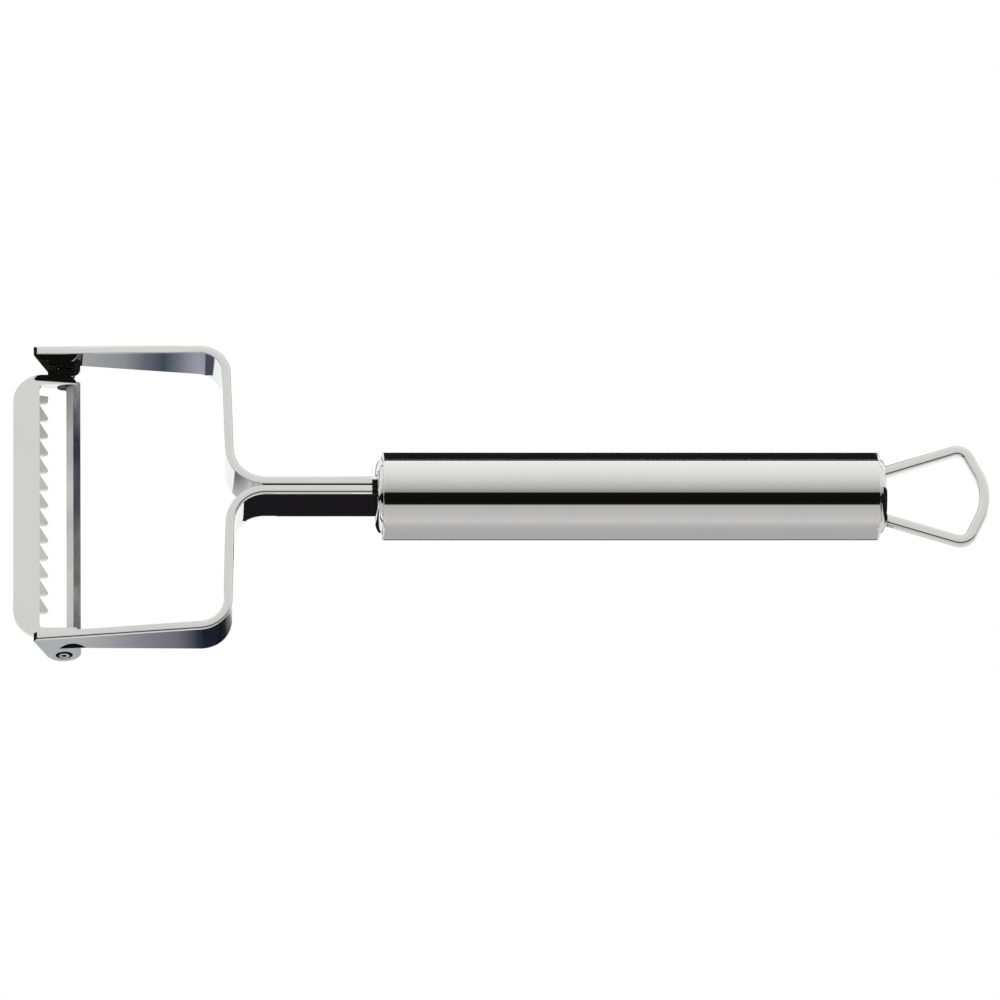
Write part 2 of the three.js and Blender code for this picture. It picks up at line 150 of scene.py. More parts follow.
# Fine lines left by a polishing belt, and the cloudier patches between them
def polishing_group():
    group = bpy.data.node_groups.new("polishing_lines", "ShaderNodeTree")
    group.interface.new_socket("Place", in_out="INPUT", socket_type="NodeSocketVector")
    group.interface.new_socket("Line Stretch", in_out="INPUT", socket_type="NodeSocketVector")
    group.interface.new_socket("Lines", in_out="OUTPUT", socket_type="NodeSocketFloat")
    group.interface.new_socket("Clouds", in_out="OUTPUT", socket_type="NodeSocketFloat")
    entry = group.nodes.new("NodeGroupInput")
    leave = group.nodes.new("NodeGroupOutput")
    stretch = group.nodes.new("ShaderNodeVectorMath")
    stretch.operation = "MULTIPLY"
    lines = group.nodes.new("ShaderNodeTexNoise")
    lines.inputs["Scale"].default_value = 1
    lines.inputs["Detail"].default_value = LINE_DETAIL
    clouds = group.nodes.new("ShaderNodeTexNoise")
    clouds.inputs["Scale"].default_value = CLOUD_SCALE
    clouds.inputs["Detail"].default_value = CLOUD_DETAIL
    link(group, entry, "Place", stretch, 0)
    link(group, entry, "Line Stretch", stretch, 1)
    link(group, stretch, 0, lines, "Vector")
    link(group, entry, "Place", clouds, "Vector")
    link(group, lines, "Fac", leave, "Lines")
    link(group, clouds, "Fac", leave, "Clouds")
    return group


polishing_lines = polishing_group()


# Two tones in clouds, a roughness that follows the polishing lines, and the lines' own relief
def steel(name, tones, roughness, stretch, bump):
    made = bpy.data.materials.new(name)
    made.use_nodes = True
    tree = made.node_tree
    shader = tree.nodes["Principled BSDF"]
    shader.inputs["Metallic"].default_value = 1
    place = tree.nodes.new("ShaderNodeTexCoord")
    marks = tree.nodes.new("ShaderNodeGroup")
    marks.node_tree = polishing_lines
    marks.inputs["Line Stretch"].default_value = stretch
    link(tree, place, "Object", marks, "Place")
    tint = tree.nodes.new("ShaderNodeMix")
    tint.data_type = "RGBA"
    tint.inputs["A"].default_value = (*tones[0], 1)
    tint.inputs["B"].default_value = (*tones[1], 1)
    clouds = value_map(tree, marks, "Clouds", 0, 1)
    link(tree, clouds, 0, tint, "Factor")
    link(tree, tint, "Result", shader, "Base Color")
    rough = value_map(tree, marks, "Lines", *roughness)
    link(tree, rough, 0, shader, "Roughness")
    raised = tree.nodes.new("ShaderNodeBump")
    raised.inputs["Strength"].default_value = bump
    raised.inputs["Distance"].default_value = MARK_DEPTH
    link(tree, marks, "Lines", raised, "Height")
    link(tree, raised, "Normal", shader, "Normal")
    return made


def dress(piece, *materials):
    piece.data.materials.clear()
    for material in materials:
        piece.data.materials.append(material)


polished = steel(
    "polished_steel", BRIGHT_TONES, roughness=(0.015, 0.035), stretch=(60, 6000, 6000), bump=0.004)

tube = cylinder_x("handle_tube_polished", TUBE_RADIUS, TUBE_FRONT_X, TUBE_REAR_X, TUBE_SIDES, "NOTHING")
modify(tube, "SOLIDIFY", thickness=TUBE_WALL, offset=-1)
edit(tube)
for end_x, rounding in ((TUBE_FRONT_X, FRONT_RIM_ROUND), (TUBE_REAR_X, REAR_RIM_ROUND)):
    pick(tube, "EDGE", lambda edge: on_outer_rim(edge, end_x))
    bpy.ops.mesh.bevel(offset=rounding, segments=RIM_STEPS, affect="EDGES")
bpy.ops.object.mode_set(mode="OBJECT")
tidy_normals(tube)
smooth(tube)
dress(tube, polished)
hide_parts("handle_tube")
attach(tube, "handle_and_fork")


# End caps: turned stainless discs with a shallow dome, pressed into the tube's ends. The front one is
# slotted for the two strips, the rear one has two squarish holes for the legs of the hanging loop.
CAP_RADIUS = 7.7 * MM
CAP_DEPTH = 6 * MM
CAP_DOME = 1.5 * MM
CAP_SIDES = 96
DOME_RINGS = 16
DOME_FLATNESS = 6
DOME_POLE_GAP = 0.25
FACING = 0.9
TOOL_OUTSIDE = 4 * MM
TOOL_INSIDE = 9 * MM
SLOT_HALF_Y = 2.25 * MM
SLOT_HALF_Z = 6.3 * MM
SLOT_ROUND = 0.4 * MM
LEG_HOLE_HALF = 1.4 * MM
LEG_HOLE_MOUTH = 0.3 * MM
LEG_HOLE_ROUND = 0.3 * MM
BLOCK_STEPS = 3
LEG_Y = 5.4 * MM


# The flat end is inset ring by ring, and each ring is pushed out to the dome's height there
def dome_face(piece, side):
    edit(piece)
    pick(piece, "FACE", lambda face: face.normal.x * side > FACING)
    bulge = 0
    outer = CAP_RADIUS
    for ring in range(1, DOME_RINGS + 1):
        angle = math.radians(90) * (1 - ring / (DOME_RINGS + DOME_POLE_GAP))
        radius = CAP_RADIUS * math.sin(angle) ** (2 / DOME_FLATNESS)
        height = CAP_DOME * math.cos(angle)
        bpy.ops.mesh.inset(thickness=outer - radius, depth=0)
        bpy.ops.transform.translate(value=(side * (height - bulge), 0, 0))
        bulge = height
        outer = radius
    bpy.ops.object.mode_set(mode="OBJECT")


def block(name, low, high, round_edges=0):
    bpy.ops.object.select_all(action="DESELECT")
    middle = [(a + b) / 2 for a, b in zip(low, high)]
    bpy.ops.mesh.primitive_cube_add(size=1, location=middle)
    piece = bpy.context.object
    piece.name = name
    piece.scale = [b - a for a, b in zip(low, high)]
    settle(piece)
    if round_edges:
        modify(piece, "BEVEL", width=round_edges, segments=BLOCK_STEPS)
    return piece


def cut(piece, tool):
    modify(piece, "BOOLEAN", operation="DIFFERENCE", object=tool, solver="EXACT")
    bpy.data.objects.remove(tool)


def join_solid(piece, tool):
    modify(piece, "BOOLEAN", operation="UNION", object=tool, solver="EXACT")
    bpy.data.objects.remove(tool)


def domed_cap(name, rim_x, side):
    low, high = sorted((rim_x, rim_x - side * CAP_DEPTH))
    cap = cylinder_x(name, CAP_RADIUS, low, high, CAP_SIDES)
    dome_face(cap, side)
    return cap


front_cap = domed_cap("front_cap_domed", TUBE_FRONT_X, -1)
slot_low = (TUBE_FRONT_X - TOOL_OUTSIDE, -SLOT_HALF_Y, AXIS_Z - SLOT_HALF_Z)
slot_high = (TUBE_FRONT_X + TOOL_INSIDE, SLOT_HALF_Y, AXIS_Z + SLOT_HALF_Z)
cut(front_cap, block("slot_tool", slot_low, slot_high, SLOT_ROUND))
tidy_normals(front_cap)
smooth(front_cap)
dress(front_cap, polished)
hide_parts("front_cap")
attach(front_cap, "handle_and_fork")

rear_cap = domed_cap("rear_cap_domed", TUBE_REAR_X, 1)
for side in (-1, 1):
    inner = side * (LEG_Y - LEG_HOLE_HALF)
    outer = side * (LEG_Y + LEG_HOLE_HALF + LEG_HOLE_MOUTH)
    hole_low = (TUBE_REAR_X - TOOL_INSIDE, min(inner, outer), AXIS_Z - LEG_HOLE_HALF)
    hole_high = (TUBE_REAR_X + TOOL_OUTSIDE, max(inner, outer), AXIS_Z + LEG_HOLE_HALF)
    cut(rear_cap, block("leg_hole_tool", hole_low, hole_high, LEG_HOLE_ROUND))
tidy_normals(rear_cap)
smooth(rear_cap)
dress(rear_cap, polished)
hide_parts("rear_cap")
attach(rear_cap, "handle_and_fork")


# Hanging loop: square stainless wire with rounded corners, bent flat into a bow. Its legs pass through
# the rear cap and are gripped by a block inside the tube.
WIRE_WIDTH = 2.2 * MM
WIRE_ROUND = 0.6 * MM
LOOP_REACH = 22.9 * MM
LEG_DEPTH = 14 * MM
LEG_SPLAY = math.radians(18)
BOW_ANGLE = math.radians(64)
BOW_BEND = 11 * MM
LOOP_CORNER = 2.7 * MM
LEG_BEND = 2.5 * MM
BEND_STEPS = 24
CORNER_STEPS = 5
ALMOST_HALF = 0.49
BENT_SOFT_ANGLE = 40


# The end face of a wire or strip, upright across X, ready in edit mode to be drawn along its path
def strip_end(name, x, y, thickness, width, outer_round, inner_round):
    bpy.ops.object.select_all(action="DESELECT")
    bpy.ops.mesh.primitive_plane_add(size=1, location=(x, y, AXIS_Z), rotation=(0, math.radians(90), 0))
    piece = bpy.context.object
    piece.name = name
    piece.scale = (width, thickness, 1)
    settle(piece)
    edit(piece)
    pick(piece, "VERT", lambda vertex: vertex.co.y > y)
    bpy.ops.mesh.bevel(offset=outer_round, segments=CORNER_STEPS, affect="VERTICES")
    pick(piece, "VERT", lambda vertex: vertex.co.y < y - ALMOST_HALF * thickness)
    bpy.ops.mesh.bevel(offset=inner_round, segments=CORNER_STEPS, affect="VERTICES")
    bpy.ops.mesh.select_all(action="SELECT")
    return piece


def run(heading, length):
    way = (length * math.cos(heading), length * math.sin(heading), 0)
    bpy.ops.mesh.extrude_region_move(TRANSFORM_OT_translate={"value": way})


# Spins the end round a bend and gives the place where the bend ends
def bend(place, heading, radius, turn):
    across = Vector((-math.sin(heading), math.cos(heading), 0))
    centre = place + across * math.copysign(radius, turn)
    bpy.ops.mesh.spin(steps=BEND_STEPS, angle=-turn, center=centre, axis=(0, 0, 1))
    return centre + Matrix.Rotation(turn, 3, "Z") @ (place - centre)


# Draws the end along a path, each move a straight length followed by a bend
def follow(place, heading, moves):
    for length, radius, turn in moves:
        run(heading, length)
        place = place + Vector((math.cos(heading), math.sin(heading), 0)) * length
        if radius:
            place = bend(place, heading, radius, turn)
            heading = heading + turn
    bpy.ops.object.mode_set(mode="OBJECT")


# How much of a straight length a bend takes up
def tangent(radius, turn):
    return radius * math.tan(abs(turn) / 2)


bow_lean = math.pi / 2 - BOW_ANGLE
bend_x = TUBE_REAR_X + CAP_DOME
apex_x = TUBE_REAR_X + LOOP_REACH - WIRE_WIDTH / 2
peak_x = apex_x + BOW_BEND * (1 / math.cos(bow_lean) - 1)
slopes = math.tan(BOW_ANGLE) + math.tan(LEG_SPLAY)
corner_run = (math.tan(BOW_ANGLE) * (peak_x - bend_x) - LEG_Y) / slopes
corner = Vector((bend_x + corner_run, LEG_Y + math.tan(LEG_SPLAY) * corner_run, 0))
corner_turn = -(LEG_SPLAY + BOW_ANGLE)
bow_turn = -2 * bow_lean
leg_length = corner_run / math.cos(LEG_SPLAY)
side_length = (corner - Vector((peak_x, 0, 0))).length
straight = LEG_DEPTH + CAP_DOME - tangent(LEG_BEND, LEG_SPLAY)
splayed = leg_length - tangent(LEG_BEND, LEG_SPLAY) - tangent(LOOP_CORNER, corner_turn)
sloped = side_length - tangent(LOOP_CORNER, corner_turn) - tangent(BOW_BEND, bow_turn)
leg_end_x = TUBE_REAR_X - LEG_DEPTH
loop = strip_end("hanging_loop_wire", leg_end_x, LEG_Y, WIRE_WIDTH, WIRE_WIDTH, WIRE_ROUND, WIRE_ROUND)
follow(Vector((leg_end_x, LEG_Y, AXIS_Z)), 0, [
    (straight, LEG_BEND, LEG_SPLAY),
    (splayed, LOOP_CORNER, corner_turn),
    (sloped, BOW_BEND, bow_turn),
    (sloped, LOOP_CORNER, corner_turn),
    (splayed, LEG_BEND, LEG_SPLAY),
    (straight, 0, 0),
])
tidy_normals(loop)
smooth(loop, BENT_SOFT_ANGLE)
dress(loop, polished)
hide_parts("hanging_loop")
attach(loop, "handle_and_fork")


# Fork arms: two strips of spring stainless, 12 by 1.8 mm with rolled edges. They lie side by side along
# the neck, part at the legs, turn forward and taper to ears that carry the blade's pins.
STRIP_THICKNESS = 1.8 * MM
STRIP_WIDTH = 12 * MM
STRIP_ROUND = 0.6 * MM
STRIP_INNER_ROUND = 0.15 * MM
TANG_END_X = 5.5 * MM
NECK_Y = 1.05 * MM
NECK_BEND = 7.4 * MM
CORNER_BEND = 5.8 * MM
LEG_LEAN = math.radians(1.5)
ARM_SPLAY = math.radians(1.9)
LEG_X = -55.6 * MM
PIVOT_X = -89.6 * MM
PIVOT_Z = 3.2 * MM
ARM_Y = 32.1 * MM
TIP_X = -95.8 * MM
TIP_DEPTH = 0.7 * MM
TIP_SPARE = 6 * MM
TAPER_X = -52.8 * MM
TAPER_ANGLE = math.radians(5.14)
LOBE_RADIUS = 3.4 * MM
LOBE_ROUND = 0.25 * MM
LOBE_SIDES = 96
WEB_SPARE = 1 * MM
RECESS_RADIUS = 4.1 * MM
RECESS_DEPTH = 1.1 * MM
RECESS_TILT = math.radians(27)
RECESS_X = -87.8 * MM
RECESS_Z = 6.5 * MM
PUNCH_LENGTH = 12 * MM
PUNCH_SIDES = 128
TIP_CHAMFER = 0.6 * MM
CHAMFER_LEAN = math.radians(44.3)
EAR_PROUD = 0.005 * MM
EAR_HOLE_RADIUS = 1.25 * MM
EAR_TOOL_LOW_Y = 28 * MM
EAR_TOOL_HIGH_Y = 36 * MM
EAR_HOLE_SIDES = 64
SINK_RADIUS = 1.75 * MM
SINK_DEPTH = 0.8 * MM
HOLE_OUTER_SKIN = 0.05 * MM
HOLE_INNER_SKIN = 0.1 * MM
SHOULDER_X = -26.7 * MM
SHOULDER_RUN = 1.6 * MM
SHOULDER_DROP = 1.4 * MM
SHOULDER_END_X = -23 * MM
SHOULDER_LOW_Y = -1 * MM
SHOULDER_HIGH_Y = 4 * MM
SHOULDER_CLEAR = 1 * MM
SHOULDER_FACES_UP = 0.3
SHOULDER_FACES_ASIDE = 0.1


# How far each edge of the strip has drawn in at a place along the arm
def taper(x):
    return math.tan(TAPER_ANGLE) * max(0, TAPER_X - x)


def cylinder_y(name, radius, low_y, high_y, x, z, sides):
    bpy.ops.object.select_all(action="DESELECT")
    bpy.ops.mesh.primitive_cylinder_add(
        vertices=sides, radius=radius, depth=high_y - low_y,
        location=(x, (low_y + high_y) / 2, z), rotation=(math.radians(-90), 0, 0))
    piece = bpy.context.object
    piece.name = name
    settle(piece)
    return piece


def cut_plane(piece, point, normal):
    edit(piece)
    bpy.ops.mesh.select_all(action="SELECT")
    bpy.ops.mesh.bisect(plane_co=point, plane_no=normal, use_fill=True, clear_outer=True)
    bpy.ops.object.mode_set(mode="OBJECT")


corner_run_y = ARM_Y - math.tan(ARM_SPLAY) * (LEG_X - PIVOT_X)
arm_corner = Vector((LEG_X - math.tan(LEG_LEAN) * (corner_run_y - NECK_Y), corner_run_y, 0))
neck_turn = -(math.pi / 2 - LEG_LEAN)
arm_turn = math.pi / 2 - LEG_LEAN - ARM_SPLAY
neck_length = TANG_END_X - LEG_X - tangent(NECK_BEND, neck_turn)
fork_leg_length = (arm_corner - Vector((LEG_X, NECK_Y, 0))).length
leg_run = fork_leg_length - tangent(NECK_BEND, neck_turn) - tangent(CORNER_BEND, arm_turn)
arm_length = (arm_corner.x - TIP_X) / math.cos(ARM_SPLAY)
arm_run = arm_length - tangent(CORNER_BEND, arm_turn) + TIP_SPARE
arm = strip_end(
    "fork_arm_right_bent", TANG_END_X, NECK_Y, STRIP_THICKNESS, STRIP_WIDTH,
    STRIP_ROUND, STRIP_INNER_ROUND)
follow(Vector((TANG_END_X, NECK_Y, AXIS_Z)), math.pi, [
    (neck_length, NECK_BEND, neck_turn),
    (leg_run, CORNER_BEND, arm_turn),
    (arm_run, 0, 0),
])
for vertex in arm.data.vertices:
    vertex.co.z -= math.copysign(taper(vertex.co.x), vertex.co.z - AXIS_Z)

# The ear's front edge slants from the tip down to the round lobe that carries the pin
tip_top_z = AXIS_Z + STRIP_WIDTH / 2 - taper(TIP_X)
tip_low = Vector((TIP_X, 0, tip_top_z - TIP_DEPTH))
lobe_centre = Vector((PIVOT_X, 0, LOBE_RADIUS))
to_tip = tip_low - lobe_centre
lean = math.atan2(to_tip.z, to_tip.x) + math.acos(LOBE_RADIUS / to_tip.length)
slant = Vector((math.cos(lean), 0, math.sin(lean)))
ear_y = corner_run_y + math.tan(ARM_SPLAY) * (arm_corner.x - PIVOT_X)
ear_inner_y = ear_y - STRIP_THICKNESS / 2
ear_outer_y = ear_y + STRIP_THICKNESS / 2


def turn_with_arm(piece):
    turn = Matrix.Rotation(-ARM_SPLAY, 3, "Z")
    centre = Vector((PIVOT_X, ear_y, 0))
    piece.rotation_euler = turn.to_euler()
    piece.location = centre - turn @ centre
    settle(piece)
    return piece


web_inner = ear_inner_y - EAR_PROUD
web_outer = ear_outer_y + EAR_PROUD
touch = lobe_centre + slant * LOBE_RADIUS
web_rear_x = PIVOT_X + LOBE_RADIUS
front_web = block("front_web", (TIP_X - WEB_SPARE, web_inner, touch.z), (PIVOT_X, web_outer, AXIS_Z))
back_web = block("back_web", (PIVOT_X, web_inner, LOBE_RADIUS), (web_rear_x, web_outer, AXIS_Z))
join_solid(front_web, back_web)
join_solid(arm, turn_with_arm(front_web))
cut_plane(arm, touch, slant)
cut_plane(arm, (TIP_X, 0, 0), (-1, 0, 0))
chamfer_way = Vector((-math.sin(CHAMFER_LEAN), 0, math.cos(CHAMFER_LEAN)))
cut_plane(arm, (TIP_X, 0, tip_top_z - TIP_CHAMFER), chamfer_way)


# The scoop above the lobe is pressed with a round punch held at a slant
def recess_tool():
    bpy.ops.object.select_all(action="DESELECT")
    punch = Vector((0, math.sin(RECESS_TILT), math.cos(RECESS_TILT)))
    inward = Vector((0, -math.cos(RECESS_TILT), math.sin(RECESS_TILT)))
    face = Vector((RECESS_X, ear_outer_y, RECESS_Z))
    centre = face + inward * (RECESS_DEPTH - RECESS_RADIUS) + punch * PUNCH_LENGTH / 2
    bpy.ops.mesh.primitive_cylinder_add(
        vertices=PUNCH_SIDES, radius=RECESS_RADIUS, depth=PUNCH_LENGTH, location=centre,
        rotation=punch.to_track_quat("Z", "Y").to_euler())
    tool = bpy.context.object
    settle(tool)
    return tool


# A round tool on the pin's axis that ends clear of the ear's outer face
def pin_hole_tool(name, radius, low_y):
    return cylinder_y(name, radius, low_y, EAR_TOOL_HIGH_Y, PIVOT_X, PIVOT_Z, EAR_HOLE_SIDES)


lobe_low = ear_inner_y - 2 * EAR_PROUD
lobe_high = ear_outer_y + 2 * EAR_PROUD
lobe = cylinder_y("lobe", LOBE_RADIUS, lobe_low, lobe_high, PIVOT_X, LOBE_RADIUS, LOBE_SIDES)
modify(lobe, "BEVEL", width=LOBE_ROUND, segments=CORNER_STEPS)
join_solid(arm, turn_with_arm(lobe))
cut(arm, pin_hole_tool("ear_hole_tool", EAR_HOLE_RADIUS, EAR_TOOL_LOW_Y))
cut(arm, pin_hole_tool("sink_tool", SINK_RADIUS, ear_outer_y - SINK_DEPTH))
cut(arm, recess_tool())


# The strip's upper edge falls away just before the cap, so that it enters the slot with room above it
def shoulder_tool():
    top = AXIS_Z + STRIP_WIDTH / 2
    low = (SHOULDER_X, SHOULDER_LOW_Y, top - SHOULDER_DROP)
    high = (SHOULDER_END_X, SHOULDER_HIGH_Y, top + SHOULDER_CLEAR)
    tool = block("shoulder_tool", low, high)
    cut_plane(tool, (SHOULDER_X, 0, top), (-SHOULDER_DROP, 0, -SHOULDER_RUN))
    tidy_normals(tool)
    return tool


cut(arm, shoulder_tool())
tidy_normals(arm)
smooth(arm, BENT_SOFT_ANGLE)


def mirrored(piece, name):
    only(piece)
    bpy.ops.object.duplicate()
    copy = bpy.context.object
    copy.name = name
    copy.scale = (1, -1, 1)
    settle(copy)
    tidy_normals(copy)
    smooth(copy, BENT_SOFT_ANGLE)
    return copy


def from_pin(point):
    return math.hypot(point.x - PIVOT_X, point.z - PIVOT_Z)


# The polishing wheel doesn't reach into the pin's hole, which stays dull; its dark tone is painted
# shade in the recess
def paint_hole_shade(piece):
    low_y = ear_inner_y + HOLE_INNER_SKIN
    high_y = ear_outer_y - HOLE_OUTER_SKIN
    for face in piece.data.polygons:
        between = low_y < abs(face.center.y) < high_y
        face.material_index = 1 if between and from_pin(face.center) < SINK_RADIUS else 0


# Nor does it reach the shoulder, close in front of the cap; the shoulder's dark tone is painted shade
def paint_shoulder_shade(piece):
    for face in piece.data.polygons:
        in_cut = SHOULDER_X < face.center.x < SHOULDER_END_X
        faces_up = face.normal.z > SHOULDER_FACES_UP and abs(face.normal.y) < SHOULDER_FACES_ASIDE
        if in_cut and faces_up:
            face.material_index = 1


# Dull steel for places the polish doesn't reach; its near-black tone is painted shade
dull_painted_shade = steel(
    "dull_steel_painted_shade", ((0.05, 0.05, 0.052), (0.09, 0.088, 0.085)),
    roughness=(0.4, 0.6), stretch=(900, 900, 900), bump=0.3)
left_arm = mirrored(arm, "fork_arm_left_bent")
for piece in (arm, left_arm):
    dress(piece, polished, dull_painted_shade)
    paint_hole_shade(piece)
    paint_shoulder_shade(piece)
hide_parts("fork_arm_right")
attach(arm, "handle_and_fork")
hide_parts("fork_arm_left")
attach(left_arm, "handle_and_fork")


# Blade: hard stainless sheet, 1 mm thick, punched with a long slot. Teeth along the slot's front side
# are bent down, the rear side is ground to an edge, and a tab at each end is rolled into an eye.
BLADE_TOP_Z = 4.75 * MM
BLADE_EDGE_ROUND = 0.12 * MM
SLOT_FRONT_X = -94.55 * MM
SLOT_END_Y = 27.3 * MM
RAIL_RIDGE_X = -87.75 * MM
RAIL_REAR_X = -86.05 * MM
BLADE_EDGE_STEPS = 2
BLADE_SHARP_ANGLE = 35
FLAT_ANGLE = 2
FLANK_FACES_BACK = 0.5
LEVEL = 0.99


# Stops sort themselves by place, so their colours are set once all of them are in place
def fill_ramp(ramp, tones):
    low, high = tones[0][0], tones[-1][0]
    elements = ramp.color_ramp.elements
    while len(elements) < len(tones):
        elements.new(0.5)
    for element, (place, tone) in zip(elements, tones):
        element.position = (place - low) / (high - low)
    for element, (place, tone) in zip(elements, tones):
        element.color = (*tone, 1)


# Painted reflection on the ground faces: their tone changes along the blade, darker in the far half and
# paler in the near half
def paint_reflection_along_y(material, tones):
    tree = material.node_tree
    shader = tree.nodes["Principled BSDF"]
    clouds = shader.inputs["Base Color"].links[0].from_node
    split = tree.nodes.new("ShaderNodeSeparateXYZ")
    scale = tree.nodes.new("ShaderNodeMapRange")
    scale.inputs["From Min"].default_value = tones[0][0] * MM
    scale.inputs["From Max"].default_value = tones[-1][0] * MM
    ramp = tree.nodes.new("ShaderNodeValToRGB")
    fill_ramp(ramp, tones)
    both = tree.nodes.new("ShaderNodeMix")
    both.data_type = "RGBA"
    both.blend_type = "MULTIPLY"
    both.inputs["Factor"].default_value = 1
    link(tree, tree.nodes["Texture Coordinate"], "Object", split, 0)
    link(tree, split, "Y", scale, "Value")
    link(tree, scale, 0, ramp, 0)
    link(tree, clouds, "Result", both, "A")
    link(tree, ramp, "Color", both, "B")
    link(tree, both, "Result", shader, "Base Color")


only(nodes["julienne_blade"])
bpy.ops.object.duplicate()
blade = bpy.context.object
blade.name = "julienne_blade_ground"
settle(blade)
tidy_normals(blade)
for vertex in blade.data.vertices:
    vertex.co.z = min(vertex.co.z, BLADE_TOP_Z)
edit(blade)
bpy.ops.mesh.select_all(action="SELECT")
bpy.ops.mesh.dissolve_limited(angle_limit=math.radians(FLAT_ANGLE))
bpy.ops.object.mode_set(mode="OBJECT")
modify(
    blade, "BEVEL", width=BLADE_EDGE_ROUND, segments=BLADE_EDGE_STEPS,
    limit_method="ANGLE", angle_limit=math.radians(BLADE_SHARP_ANGLE))
tidy_normals(blade)
smooth(blade, BLADE_SHARP_ANGLE)
blade_steel = steel(
    "blade_steel", BRIGHT_TONES, roughness=(0.03, 0.05), stretch=(6000, 80, 6000), bump=0.01)
ground_steel_painted_reflection = steel(
    "ground_steel_painted_reflection", ((0.44, 0.43, 0.425), (0.58, 0.57, 0.56)),
    roughness=(0.16, 0.34), stretch=(6000, 5000, 40), bump=0.15)
flank_steel_painted_reflection = steel(
    "flank_steel_painted_reflection", ((0.85, 0.85, 0.86), (1, 1, 1)),
    roughness=(0.14, 0.22), stretch=(6000, 60, 60), bump=0.02)
# The flank and the other ground faces carry a painted reflection that changes along the blade
paint_reflection_along_y(flank_steel_painted_reflection, [
    (-27, (0.46, 0.46, 0.47)),
    (-21, (0.72, 0.72, 0.73)),
    (-10, (0.50, 0.50, 0.51)),
    (0, (0.21, 0.22, 0.26)),
    (13, (0.18, 0.19, 0.25)),
    (22, (0.40, 0.40, 0.44)),
    (27, (0.55, 0.55, 0.58)),
])
paint_reflection_along_y(ground_steel_painted_reflection, [
    (-27, (1.25, 1.25, 1.26)),
    (2, (1.3, 1.3, 1.31)),
    (13, (1.14, 1.14, 1.16)),
    (22, (0.95, 0.95, 0.97)),
    (27, (0.8, 0.8, 0.82)),
])
dress(blade, blade_steel, ground_steel_painted_reflection, flank_steel_painted_reflection)
for face in blade.data.polygons:
    in_slot = SLOT_FRONT_X < face.center.x < RAIL_REAR_X and abs(face.center.y) < SLOT_END_Y
    on_flank = face.center.x > RAIL_RIDGE_X and face.normal.x > FLANK_FACES_BACK
    ground = in_slot and abs(face.normal.z) < LEVEL
    face.material_index = (2 if on_flank else 1) if ground else 0
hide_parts("julienne_blade")
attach(blade, "blade")


# Pivot pins: short tubes rolled from sheet, so their ends show a ring with an open seam. Each is held
# in the blade's eye and turns in the hole of the fork's ear.
PIN_RADIUS = 1.1 * MM
PIN_BORE_RADIUS = 0.55 * MM
PIN_INNER_Y = 27.6 * MM
PIN_OUTER_Y = 33.15 * MM
PIN_BORE_DEPTH = 2.5 * MM
PIN_SIDES = 64
PIN_EDGE_ROUND = 0.1 * MM
PIN_EDGE_STEPS = 3
PIN_SHARP_ANGLE = 40
PIN_END_SKIN = 0.15 * MM
SEAM_HALF = 0.15 * MM

pin = cylinder_y(
    "pivot_pin_right_rolled", PIN_RADIUS, PIN_INNER_Y, PIN_OUTER_Y, PIVOT_X, PIVOT_Z, PIN_SIDES)
edit(pin)
pick(pin, "FACE", lambda face: face.normal.y > FACING)
bpy.ops.mesh.inset(thickness=PIN_RADIUS - PIN_BORE_RADIUS, depth=0)
bpy.ops.mesh.extrude_region_move(TRANSFORM_OT_translate={"value": (0, -PIN_BORE_DEPTH, 0)})
bpy.ops.object.mode_set(mode="OBJECT")
seam_low = (PIVOT_X - 2 * PIN_RADIUS, PIN_OUTER_Y - PIN_BORE_DEPTH, PIVOT_Z - SEAM_HALF)
seam_high = (PIVOT_X, PIN_OUTER_Y + PIN_BORE_DEPTH, PIVOT_Z + SEAM_HALF)
cut(pin, block("seam_tool", seam_low, seam_high))
modify(
    pin, "BEVEL", width=PIN_EDGE_ROUND, segments=PIN_EDGE_STEPS,
    limit_method="ANGLE", angle_limit=math.radians(PIN_SHARP_ANGLE))
tidy_normals(pin)
smooth(pin)
left_pin = mirrored(pin, "pivot_pin_left_rolled")
for piece in (pin, left_pin):
    dress(piece, blade_steel, dull_painted_shade)
    # The bore and the seam get the dull steel, whose dark tone is painted shade inside them
    for face in piece.data.polygons:
        in_bore = from_pin(face.center) < PIN_BORE_RADIUS
        in_seam = abs(face.center.z - PIVOT_Z) < SEAM_HALF + TOUCH and face.center.x < PIVOT_X
        inside = abs(face.center.y) < PIN_OUTER_Y - PIN_END_SKIN
        face.material_index = 1 if inside and (in_bore or in_seam) else 0
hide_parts("pivot_pin_right")
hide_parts("pivot_pin_left")
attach(pin, "blade")
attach(left_pin, "blade")


# Hidden fittings: a slotted block and its cross pin hold the strips' ends inside the tube, and a second
# block grips the legs of the loop. They are turned from plain steel bar and left as machined.
plain_steel = steel(
    "plain_steel", ((0.50, 0.50, 0.50), (0.60, 0.60, 0.59)),
    roughness=(0.25, 0.45), stretch=(9000, 60, 60), bump=0.2)
for name in ("tang_plug", "tang_cross_pin", "loop_block"):
    dress(nodes[name], plain_steel)


